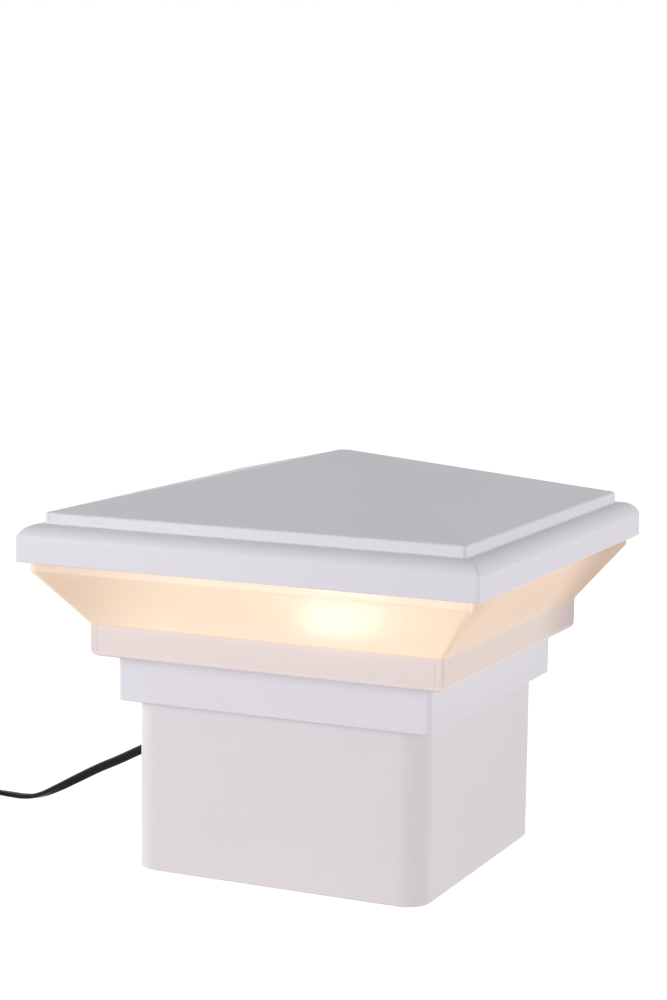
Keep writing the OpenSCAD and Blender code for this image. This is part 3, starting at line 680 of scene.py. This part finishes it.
def makeRoof(v):
    # The outline from the tip down the slope, the step, the ledge, the round and the fascia, and back up
    # inside, carried round the square. The underside is the slope moved in by the wall, square to it.
    slope = (v["apex"] - v["step"]) / v["stepHalf"]
    roofIn, stepIn = v["half"] - v["wall"], v["stepHalf"] - v["wall"]
    under = v["step"] + v["wall"] * slope - v["wall"] * math.hypot(1, slope)
    # From the shoulder the line leans out to the fascia's top, so that the round ends there in a crisp edge
    shoulder = v["half"] - v["roundDrop"] * math.tan(math.radians(v["roundLean"]))
    tip, flat, fascia = v["tip"], v["tipFlat"], v["fasciaCorner"]
    soft, square = v["innerRound"], v["innerCorner"]
    corners = [[flat, v["apex"] - v["blunt"], 0, flat],
               [tip, v["apex"] - tip * slope, v["tipRound"], v["tipCorner"]],
               [v["stepHalf"], v["step"], v["stepEdge"], v["stepCorner"]],
               [v["stepHalf"], v["ledge"], v["ledgeRound"], v["stepCorner"]],
               [shoulder, v["ledge"], v["round"], fascia],
               [v["half"], v["ledge"] - v["roundDrop"], v["crispRound"], fascia],
               [v["half"], v["low"], v["lowRound"], fascia], [roofIn, v["low"], v["innerLow"], square],
               [roofIn, v["seat"], soft, square], [stepIn, v["seat"], soft, square],
               [stepIn, under, soft, square], [flat, under + (stepIn - flat) * slope, 0, flat]]
    mesh = closedMesh("roofCap", squareRings(roundedLine(corners, closed=False, stepAngle=7.5)))
    roof = newPiece("roofCap", mesh, capWhite, "roof", ("roof_cap",))
    # Bosses hang from the underside, with a small round at their lower edge
    places = [(v["clipX"], 0), (-v["clipX"], 0), (0, v["clipX"]), (0, -v["clipX"])]
    places += [(x, y) for x in (-v["plateX"], v["plateX"]) for y in (-v["plateX"], v["plateX"])]
    bosses = []
    for x, y in places:
        high = under + (stepIn - max(abs(x), abs(y))) * slope + v["bossInto"]
        line = roundedLine([[0.5, v["bossLow"], 0, 0], [v["bossRadius"], v["bossLow"], v["bossRound"], 0],
                            [v["bossRadius"], high, 0, 0]], closed=False)
        bosses.append(closedMesh("boss", revolved(line, 32) + np.array([x, y, 0])))
    boolean(roof, joined("bosses", bosses), "UNION")


makeRoof(roofValues)
print("sleeve, collar and roof made")

lensValues = {
    "half": 61, "wall": 3, "low": 71.8, "drip": 0.8, "dripHalf": 55, "crease": 81.6, "lip": 99.5, "top": 110,
    "lipHalf": 74.65, "flange": 41, "bandCorner": 1.2, "lipCorner": 0.4, "innerCorner": 0.8,
    "edge": 2.2, "creaseRound": 1.2, "lipRound": 1.2, "topRound": 0.4, "highRound": 1.0, "lowRound": 0.6,
    "floorRound": 1.0, "flangeRound": 0.4, "dripInner": 0.15, "dripRound": 0.3,
}
frostValues = {
    "taperColour": (0.60, 0.56, 0.52), "bandColour": (0.77, 0.72, 0.71),
    # the third colour is a painted shade near the corners, the last is for the faces towards the hollow
    "cornerShadeColour": (0.45, 0.42, 0.40), "insideColour": (0.95, 0.93, 0.90),
    "rough": (0.42, 0.46), "gloss": 0.2,
    # painted glow, standing in for the bulb's light through the wall: its middle, how it falls and its
    # strengths
    "glowAt": (20, -22, 84),        # the photograph shows it a little stronger towards this corner
    "glowFalls": (63, 102),         # distances where the glow is full and where it is least
    "glowLeast": 0.41, "sideShare": 0.41,
    "stripGlow": (0.5, 0.72),       # close to a corner, on the side walls and on the front and back
    # colours of the painted glow on the slanted wall and on the band, and of the painted light spilt onto the
    # band
    "glowFar": (0.20, 0.07, 0.0), "glowNear": (0.53, 0.385, 0.225),
    "bandFar": (0.05, 0.01, 0.0), "bandSide": (0.10, 0.045, 0.003), "bandFront": (0.10, 0.062, 0.042),
    "spill": (0.06, 0.02, 0.0),
    "creaseLine": 0.07, "bottomLine": 0.09, "streakLine": 0.06,   # strengths of the painted highlight lines
    "bottomCorner": 0.3, "topCorner": 0.13,                       # and of the painted highlights at the ends of a corner's edge
    # strengths and colour of the painted highlight line under the roof
    "lipLine": (0.05, 0.13), "underRoofGlintColour": (0.5, 0.6, 1),
    "cornerShade": 0.12, "shadeLine": 0.08,                              # strengths of the painted shade lines, near the corners and at the foot of the lip
    # where the painted shade on the side walls starts and is full, and its strength
    "dimFalls": (62, 92), "dim": 0.3,
    "passed": (0.02, 0.2),          # share of the light let through near the crease and higher up
}


def frostedLens(name, v, look):
    # Milky acrylic, with the bulb's light through it painted on as emission, worked out from the place on the
    # piece in millimetres. Depth is how far a point lies inside the outer profile: the faces towards the
    # hollow let all light through, and the outer ones are frosted, carry the painted glow, and let 2 to 20
    # hundredths of it through. The painted glow falls with the distance from its middle. The square of the
    # normal's Y tells the front and back walls, which glow most, from the side walls, whose paint also takes
    # a painted shade that darkens with the distance. Close to a corner there is no hollow behind the face, so
    # a strip there has a painted glow of its own. The band below the crease is paler and cooler, and its
    # front takes some of the slanted wall's glow just below the crease as painted light. Painted highlight
    # lines and painted shade lines lie over the glow.
    material, tree, shader = newMaterial(name)
    low, crease, lip = v["low"], v["crease"], v["lip"]
    coordinates = node(tree, "ShaderNodeTexCoord").outputs
    place = coordinates["Object"]
    x, y, z = millimetres(tree, place)
    absX, absY = maths(tree, "ABSOLUTE", x), maths(tree, "ABSOLUTE", y)
    outward = maths(tree, "MAXIMUM", absX, absY)
    fromCorner = maths(tree, "SUBTRACT", outward, maths(tree, "MINIMUM", absX, absY))
    profile = mapRange(tree, z, crease, lip, v["half"], v["lipHalf"])
    deep = maths(tree, "GREATER_THAN", maths(tree, "SUBTRACT", profile, outward), v["wall"] / 2)
    inside = product(tree, deep, maths(tree, "GREATER_THAN", z, low + v["wall"] - 0.3))
    normalY = xyz(tree, coordinates["Normal"])[1]
    faced = mapRange(tree, product(tree, normalY, normalY), 0.1, 0.35)
    sideways = oneMinus(tree, faced)
    below = mapRange(tree, z, crease - 0.6, crease - 0.1, 1, 0)
    strip = mapRange(tree, below, 0, 1, mapRange(tree, z, crease - 0.1, lip, 1.3, 2.0), 2.8)
    corner = mapRange(tree, maths(tree, "SUBTRACT", fromCorner, strip), -0.2, 0.3, 1, 0)
    cloud = noise(tree, place, scale=30, detail=3, rough=0.55)
    grain = noise(tree, place, scale=1600, detail=2, rough=0.6)

    # Painted glow: emission that stands in for the bulb's light through the frosted wall, strongest near its
    # middle
    away = distanceFrom(tree, place, look["glowAt"])
    reach = mapRange(tree, away, *look["glowFalls"], 1, look["glowLeast"], smooth=True)
    reachSquared = product(tree, reach, reach)
    sideShare = product(tree, reachSquared, look["sideShare"])
    wallGlow = product(tree, reach, mapRange(tree, faced, 0, 1, sideShare, 1))
    stripGlow = mapRange(tree, faced, 0, 1, *look["stripGlow"])
    glow = mapRange(tree, corner, 0, 1, wallGlow, stripGlow)
    onTaper = mixColour(tree, glow, look["glowFar"], look["glowNear"])
    sideBand = mixColour(tree, reachSquared, look["bandFar"], look["bandSide"])
    onBand = mixColour(tree, product(tree, faced, oneMinus(tree, corner)), sideBand, look["bandFront"])
    # painted light from the slanted wall's glow on the band's front, just below the crease
    spill = product(tree, mapRange(tree, z, crease - 1.7, crease - 0.4, smooth=True), faced)
    onBand = mixColour(tree, spill, onBand, look["spill"], "ADD")
    light = mixColour(tree, mapRange(tree, z, crease - 0.5, crease + 0.4), onBand, onTaper)

    # painted highlight lines added to the painted glow: along the crease, at the band's bottom, under the
    # roof, at the ends of a corner's edge and near a corner
    white = (1, 1, 1)
    cornerEdge = mapRange(tree, fromCorner, 0.2, 0.6, 1, 0)
    cornerEnds = maths(tree, "ADD", mapRange(tree, z, low + 0.1, low + 0.7, look["bottomCorner"], 0),
                       mapRange(tree, z, lip - 1.7, lip - 0.7, 0, look["topCorner"]))
    underRoof = product(tree, mapRange(tree, z, lip + 0.1, lip + 3.1),
                        mapRange(tree, faced, 0, 1, *look["lipLine"]))
    brightLines = [
        (product(tree, near(tree, z, crease, 0.6), sideways, look["creaseLine"]), white),
        (mapRange(tree, z, low + 0.5, low + 1.3, look["bottomLine"], 0), white),
        (underRoof, look["underRoofGlintColour"]),
        (product(tree, cornerEdge, cornerEnds), white),
        (product(tree, near(tree, fromCorner, 1.9, 0.4), below, look["streakLine"]), white),
    ]
    for amount, colour in brightLines:
        light = mixColour(tree, amount, light, colour, "ADD")
    # painted shade: a darker line near each corner on the band, in the paint and with less glow, and a
    # painted shade line at the foot of the lip
    cornerShade = product(tree, near(tree, fromCorner, 2.9, 0.5), below, look["cornerShade"])
    shadeLine = product(tree, near(tree, z, lip - 0.1, 0.6), look["shadeLine"])
    kept = maths(tree, "SUBTRACT", oneMinus(tree, cornerShade), shadeLine)
    kept = product(tree, kept, oneMinus(tree, inside), mapRange(tree, z, low - 0.75, low - 0.1),
                   spread(tree, cloud, 0.98, 1.02))

    # painted shade on the side walls, darker with the distance from the glow's middle
    dim = product(tree, mapRange(tree, away, *look["dimFalls"], 0, look["dim"]), sideways)
    abovePaint = mapRange(tree, z, crease - 0.7, crease + 0.2)
    paint = mixColour(tree, abovePaint, look["bandColour"], look["taperColour"])
    paint = mixColour(tree, dim, paint, (0, 0, 0))
    paint = mixColour(tree, cornerShade, paint, look["cornerShadeColour"])
    paint = mixColour(tree, inside, paint, look["insideColour"])
    passed = product(tree, mapRange(tree, z, crease + 0.6, crease + 10.4, *look["passed"], smooth=True),
                     mapRange(tree, z, lip - 2, lip, 1, 0.4))
    setInputs(tree, shader, {
        "Base Color": paint,
        "Emission Color": light,
        "Emission Strength": kept,
        "Transmission Weight": maths(tree, "MAXIMUM", inside, passed),
        "Roughness": spread(tree, cloud, *look["rough"]),
        "Normal": bump(tree, grain, strength=0.12, distance=0.05),
        "Specular IOR Level": look["gloss"],
        "IOR": 1.49,
    })
    return material


lensFrost = frostedLens("lensFrost", lensValues, frostValues)


def makeLens(v):
    # A closed outline carried round the square: up the outside of the band, out along the slanted wall, up
    # the lip, and down the inside, which is the outside moved in by the wall, to the floor and the drip lip
    lean = (v["lipHalf"] - v["half"]) / (v["lip"] - v["crease"])
    shift = v["wall"] * math.hypot(1, lean)
    bandIn, lipIn = v["half"] - v["wall"], v["lipHalf"] - v["wall"]
    low = v["crease"] + (bandIn - v["half"] + shift) / lean
    high = v["crease"] + (lipIn - v["half"] + shift) / lean
    floor, dripLow = v["low"] + v["wall"], v["low"] - v["drip"]
    outer, upper, square = v["bandCorner"], v["lipCorner"], v["innerCorner"]
    corners = [[v["half"], dripLow, v["edge"], outer], [v["half"], v["crease"], v["creaseRound"], outer],
               [v["lipHalf"], v["lip"], v["lipRound"], upper], [v["lipHalf"], v["top"], v["topRound"], upper],
               [lipIn, v["top"], v["topRound"], square], [lipIn, high, v["highRound"], square],
               [bandIn, low, v["lowRound"], square], [bandIn, floor, v["floorRound"], square],
               [v["flange"], floor, v["flangeRound"], square],
               [v["flange"], v["low"], v["flangeRound"], square],
               [v["dripHalf"], v["low"], v["dripInner"], square],
               [v["dripHalf"], dripLow, v["dripRound"], square]]
    mesh = closedMesh("frostedLens", squareRings(roundedLine(corners, closed=True)), loop=True)
    newPiece("frostedLens", mesh, lensFrost, "head", ("lens_shade",))


makeLens(lensValues)
print("lens made")

bulbValues = {
    "radius": 5.15, "low": 70, "neck": 2.2, "high": 86.8, "wall": 0.5,
    "wedgeWide": 9.4, "wedgeThick": 2.1, "wedgeDeep": 9,
    "pinch": 0.94,   # the wedge's last ring as a share of the others
    "glowAt": (4.5, -3, 83.5),
    "glowReach": (1, 10.2),   # distances where the glow is full and where it is gone
    "glowPower": 70, "glowColour": (1.0, 0.84, 0.75),
}


def litGlass(name, v):
    # Clear glass that glows round a point high on its front right side, and less towards the wedge
    material, tree, shader = newMaterial(name)
    place = objectPlace(tree)
    around = mapRange(tree, distanceFrom(tree, place, v["glowAt"]), *v["glowReach"], 1, 0, smooth=True)
    setInputs(tree, shader, {
        "Base Color": (1.0, 0.99, 0.96),
        "Emission Color": v["glowColour"],
        "Emission Strength": product(tree, around, v["glowPower"]),
        "Roughness": spread(tree, noise(tree, place, scale=400, detail=2), 0.02, 0.08),
        "Transmission Weight": 1.0,
        "IOR": 1.47,
    })
    return material


def makeBulb(v):
    # Outside: rings from the wedge's end, a flat superellipse, which turns round over the neck and closes in
    # a dome. Inside: the same dome, smaller by the wall, turned to face the hollow.
    wedge = np.linspace(v["low"] - v["wedgeDeep"], v["low"], 12)
    neck = np.linspace(0, 1, 12)[1:]
    domeLow = v["high"] - v["radius"]
    barrel = np.linspace(v["low"] + v["neck"], domeLow, 6)[1:]
    dome = np.linspace(0, math.pi / 2, 14)[1:-1]
    pinch = np.where(wedge == wedge[0], v["pinch"], 1.0)

    def halfWidths(atWedge):
        # the wedge's, then eased out to the radius over the neck, then the barrel's and the dome's
        return np.concatenate([atWedge * pinch, atWedge + (v["radius"] - atWedge) * ease(neck),
                               np.full(len(barrel), v["radius"]), v["radius"] * np.cos(dome)])

    wide, thick = halfWidths(v["wedgeWide"] / 2), halfWidths(v["wedgeThick"] / 2)
    height = np.concatenate([wedge, v["low"] + v["neck"] * neck, barrel,
                             domeLow + v["radius"] * np.sin(dome)])
    roundRings = len(barrel) + len(dome)
    power = np.concatenate([np.full(len(wedge), 5.0), 5 - 3 * ease(neck), np.full(roundRings, 2.0)])
    x, y = superOutline(wide[:, None], thick[:, None], power[:, None], 48)
    outer = closedMesh("bulbOuter", np.stack([x, y, height[:, None] + 0 * x], axis=-1))
    radius = v["radius"] - v["wall"]
    arc = np.linspace(0, math.pi / 2, 14)[:-1]
    base = v["low"] + v["neck"] + v["wall"]
    innerWide = np.concatenate([[radius * 0.5, radius * 0.9, radius], radius * np.cos(arc)])
    innerHigh = np.concatenate([[base, base + 0.2, base + 0.8], domeLow + radius * np.sin(arc)])
    inner = closedMesh("bulbInner", revolved(np.stack([innerWide, innerHigh], axis=-1)))
    inner.flip_normals()
    mesh = joined("bulbGlass", [outer, inner])
    newPiece("bulbGlass", mesh, litGlass("litGlass", v), "bulb", ("bulb_glass",))


makeBulb(bulbValues)

filamentValues = {
    "height": 79.5, "span": 4.5, "sag": 0.5, "turns": 11, "coilRadius": 0.42, "wireRadius": 0.08,
    "foot": 72.45, "footOut": 1.4, "postRadius": 0.2,
    "colour": (0.3, 0.27, 0.24), "hotColour": (1.0, 0.72, 0.38),
    "hotFrom": 78.5, "hotFull": 79.2, "power": 30,
}


def hotWire(name, v):
    # bare metal that glows above one height, so that the posts stay dark but for their tips
    material, tree, shader = newMaterial(name)
    z = millimetres(tree, objectPlace(tree))[2]
    setInputs(tree, shader, {
        "Base Color": v["colour"],
        "Metallic": 1.0,
        "Emission Color": v["hotColour"],
        "Emission Strength": mapRange(tree, z, v["hotFrom"], v["hotFull"], 0, v["power"]),
    })
    return material


def makeFilament(v):
    # A fine coil across the bulb on two support wires: the wire's middle goes round the coil's own axis
    half, radius = v["span"] / 2, v["coilRadius"]
    t = np.linspace(0, 1, v["turns"] * 16)
    angle = 2 * math.pi * v["turns"] * t
    sagged = v["height"] + v["sag"] * np.sin(math.pi * t)
    coil = np.stack([-half + 2 * half * t, radius * np.cos(angle), sagged + radius * np.sin(angle)], axis=-1)
    meshes = [closedMesh("wire", sweptRings(coil, circleOutline(v["wireRadius"], 8), up=(0, 0.3, 1)))]
    for s in (-1, 1):
        post = smoothPath([[s * v["footOut"], 0, v["foot"]], [s * (v["footOut"] + 0.2), 0, v["foot"] + 2],
                           [s * half, 0, v["height"] - 1], [s * half, 0, v["height"] + 0.2]], 0.4)
        meshes.append(closedMesh("wire", sweptRings(post, circleOutline(v["postRadius"], 8), up=(0, 1, 0))))
    mesh = joined("bulbFilament", meshes)
    newPiece("bulbFilament", mesh, hotWire("hotFilament", v), "bulb", ("bulb_filament",))


makeFilament(filamentValues)
print("lamp made")

wireValues = {"radius": 0.8, "partedRadius": 0.76, "spacing": 0.9, "z": 32}
# One slack conductor's x, y and z, which the other mirrors in y. The last rows hold x, what one side adds to
# it and the other takes from it, y and z.
slackLow = [[-20, 4, 32], [-14, 4, 32], [-6, 4.6, 31], [4, 5, 31.5], [11, 4.8, 34], [13, 4, 38]]
slackLast = [[8, 2, 3, 41], [2, 2.6, 2.2, 42], [0, 3, 1.9, 44], [0, 3, 1.9, 46]]
# x, y and height over the lead's middle of one parted conductor, which the other mirrors in y and height
partedLeads = [[-40.4, 0.0, 0.72], [-38.4, 0.8, 0.6], [-36.8, 2.6, 0.3], [-35.6, 4, 0], [-34, 4, 0]]


def makeSlackLeads(v):
    # a round wire along each side's route, which stretches between the post and the head
    meshes = []
    for s in (-1, 1):
        points = [[x, s * y, z] for x, y, z in slackLow] + [[x + s * a, s * y, z] for x, a, y, z in slackLast]
        path = smoothPath(points, v["spacing"])
        meshes.append(closedMesh("wire", sweptRings(path, circleOutline(v["radius"]), up=(0, 1, 0))))
    mesh = joined("slackWires", meshes)
    wires = newPiece("slackWires", mesh, blackPvc, None, ("socket_leads",))
    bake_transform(wires)


makeSlackLeads(wireValues)


def makeSupplyLeads(v):
    # the flat lead inside the wall, and its two conductors, which part in y and come level
    flat = np.array([[x, 0, v["z"], 0] for x in (-52.6, -50.8, -47.4, -39.4)])
    meshes = [closedMesh("wire", sweptRings(smoothPath(flat, 1.5), flatTwinOutline(leadValues)))]
    for s in (-1, 1):
        path = smoothPath([[x, s * y, v["z"] + s * z] for x, y, z in partedLeads], 0.5)
        meshes.append(closedMesh("wire", sweptRings(path, circleOutline(v["partedRadius"]))))
    newPiece("supplyWires", joined("supplyWires", meshes), blackPvc, "post", ("supply_leads",))


makeSupplyLeads(wireValues)
print("wires made")


def metal(name, colour, rough, stretch=(1, 1, 1), scale=500, tarnish=0.12):
    # Metal with fine brushing along the axis whose stretch is small, and slight tarnish in patches
    material, tree, shader = newMaterial(name)
    grain = noise(tree, objectPlace(tree, stretch), scale=scale, detail=4, rough=0.6)
    patches = mapRange(tree, noise(tree, objectPlace(tree), scale=120, detail=4, rough=0.6), 0.45, 0.7)
    setInputs(tree, shader, {
        "Base Color": mixColour(tree, patches, colour, [c * (1 - tarnish) for c in colour]),
        "Roughness": spread(tree, grain, rough - 0.07, rough + 0.1),
        "Normal": bump(tree, grain, strength=0.12, distance=0.05),
        "Metallic": 1.0,
    })
    return material


def ceramic(name, colour, paler):
    # glazed, with a slow change of tone and gloss and a fine uneven surface
    material, tree, shader = newMaterial(name)
    place = objectPlace(tree)
    slow = noise(tree, place, scale=80, detail=4, rough=0.6)
    setInputs(tree, shader, {
        "Base Color": mixColour(tree, mapRange(tree, slow, 0.35, 0.65), colour, paler),
        "Roughness": spread(tree, slow, 0.3, 0.5),
        "Normal": bump(tree, noise(tree, place, scale=900, detail=3), strength=0.15, distance=0.1),
    })
    return material


zinc = metal("zincSteel", (0.66, 0.66, 0.68), 0.3)
spring = metal("springSteel", (0.60, 0.60, 0.63), 0.22, stretch=(1, 1, 0.05))
brass = metal("brightBrass", (0.80, 0.62, 0.30), 0.24)
plate = metal("satinPlate", (0.80, 0.80, 0.81), 0.5, stretch=(0.03, 1, 1), scale=900, tarnish=0.05)
glazed = ceramic("glazedCeramic", (0.80, 0.77, 0.69), (0.86, 0.84, 0.77))
finishes = {
    zinc: ["set_screws", "lens_screws", "socket_screws", "deck_plate_screws", "roof_plate_screws",
           "clip_screws"],
    spring: ["roof_clips", "bulb_contacts"],
    brass: ["socket_contacts", "plug_pins", "wire_splices"],
    plate: ["deck_reflector", "roof_reflector"],
    glazed: ["lamp_socket"],
    rubber("closedFoam", (0.16, 0.16, 0.165), 0.85, 500): ["collar_gasket"],
    rubber("paleSeal", (0.62, 0.61, 0.60), 0.5, 800, 1.1): ["roof_seal"],
}


def finishSolids():
    # the solids that stay as they are get their finish in every slot
    for material, names in finishes.items():
        for name in names:
            solid = nodes[name]
            if not solid.material_slots:
                solid.data.materials.append(material)
            for holder in solid.material_slots:
                holder.material = material


finishSolids()
print("solids finished")

stageValues = {
    "floorHalf": 3.0,        # metres
    "floorColour": (0.82, 0.82, 0.83),
    "floorKeep": 0.35,       # how much of the real floor the camera sees, which is what keeps its shadow
    "floorWhite": 0.985,
    "horizon": 1.6, "zenith": 0.165, "band": 0.45, "skyTint": (1.025, 0.98, 1.035),
}


def lookedAt(tree):
    # 1 for what the camera, a reflection or a clear material sees, and 0 for what only lights the object
    path = node(tree, "ShaderNodeLightPath").outputs
    reflected = maths(tree, "MAXIMUM", path["Is Glossy Ray"], path["Is Transmission Ray"])
    return maths(tree, "MAXIMUM", path["Is Camera Ray"], reflected)


def makeFloor(v):
    # a square in the XY plane: looked at, it is white light and a share of real floor, otherwise a matt floor
    h = v["floorHalf"]
    mesh = bpy.data.meshes.new("floor")
    mesh.from_pydata([(-h, -h, 0), (h, -h, 0), (h, h, 0), (-h, h, 0)], [], [(0, 1, 2, 3)])
    floor = bpy.data.objects.new("floor", mesh)
    bpy.context.scene.collection.objects.link(floor)
    material, tree, shader = newMaterial("floorWhite")
    setInputs(tree, shader, {"Base Color": v["floorColour"], "Roughness": 0.8})
    white = node(tree, "ShaderNodeEmission", {"Color": (1, 1, 1), "Strength": v["floorWhite"]}).outputs[0]
    soft = node(tree, "ShaderNodeBsdfDiffuse", {"Color": (v["floorKeep"],) * 3}).outputs[0]
    both = node(tree, "ShaderNodeAddShader", {0: white, 1: soft}).outputs[0]
    mixed = node(tree, "ShaderNodeMixShader", {0: lookedAt(tree), 1: shader.outputs[0], 2: both}).outputs[0]
    tree.links.new(mixed, tree.nodes["Material Output"].inputs["Surface"])
    mesh.materials.append(material)


def makeWorld(v):
    # The sky is brightest at the horizon, so that upright faces come out lighter than the roof's slopes, and
    # falls to the zenith's strength at the height of the band
    world = bpy.data.worlds.new("studio")
    bpy.context.scene.world = world
    world.use_nodes = True
    tree = world.node_tree
    sky = tree.nodes["Background"]
    z = xyz(tree, node(tree, "ShaderNodeTexCoord").outputs["Generated"])[2]
    level = mapRange(tree, z, 0, v["band"], v["horizon"], v["zenith"], smooth=True)
    setInputs(tree, sky, {"Color": v["skyTint"], "Strength": level})
    white = node(tree, "ShaderNodeBackground", {"Color": (1, 1, 1), "Strength": 1.0}).outputs[0]
    mixed = node(tree, "ShaderNodeMixShader", {0: lookedAt(tree), 1: sky.outputs[0], 2: white}).outputs[0]
    tree.links.new(mixed, tree.nodes["World Output"].inputs["Surface"])


# places and sizes in metres, power in watts
lampAim = (0, 0, 0.08)
lampValues = [
    {"name": "leftLamp", "place": (-1.135, -0.413, 0.404), "size": 0.75, "power": 3.0},
    {"name": "frontLamp", "place": (-0.693, -0.989, 0.404), "size": 0.75, "power": 4.8},
    {"name": "rightLamp", "place": (1.207, 0.0, 0.404), "size": 0.75, "power": 4.0},
]


def makeLamp(v):
    # a disc that looks at the lamps' aim, with its side axis level
    data = bpy.data.lights.new(v["name"], "AREA")
    data.shape, data.size, data.energy = "DISK", v["size"], v["power"]
    ahead = np.array(lampAim) - np.array(v["place"])
    ahead /= np.linalg.norm(ahead)
    side = np.cross(ahead, [0, 0, 1])
    side /= np.linalg.norm(side)
    aimed(bpy.data.objects.new(v["name"], data), v["place"], side, np.cross(side, ahead), ahead)


makeFloor(stageValues)
makeWorld(stageValues)
for values in lampValues:
    makeLamp(values)
bpy.context.scene.view_settings.view_transform = "Standard"
print("stage made")
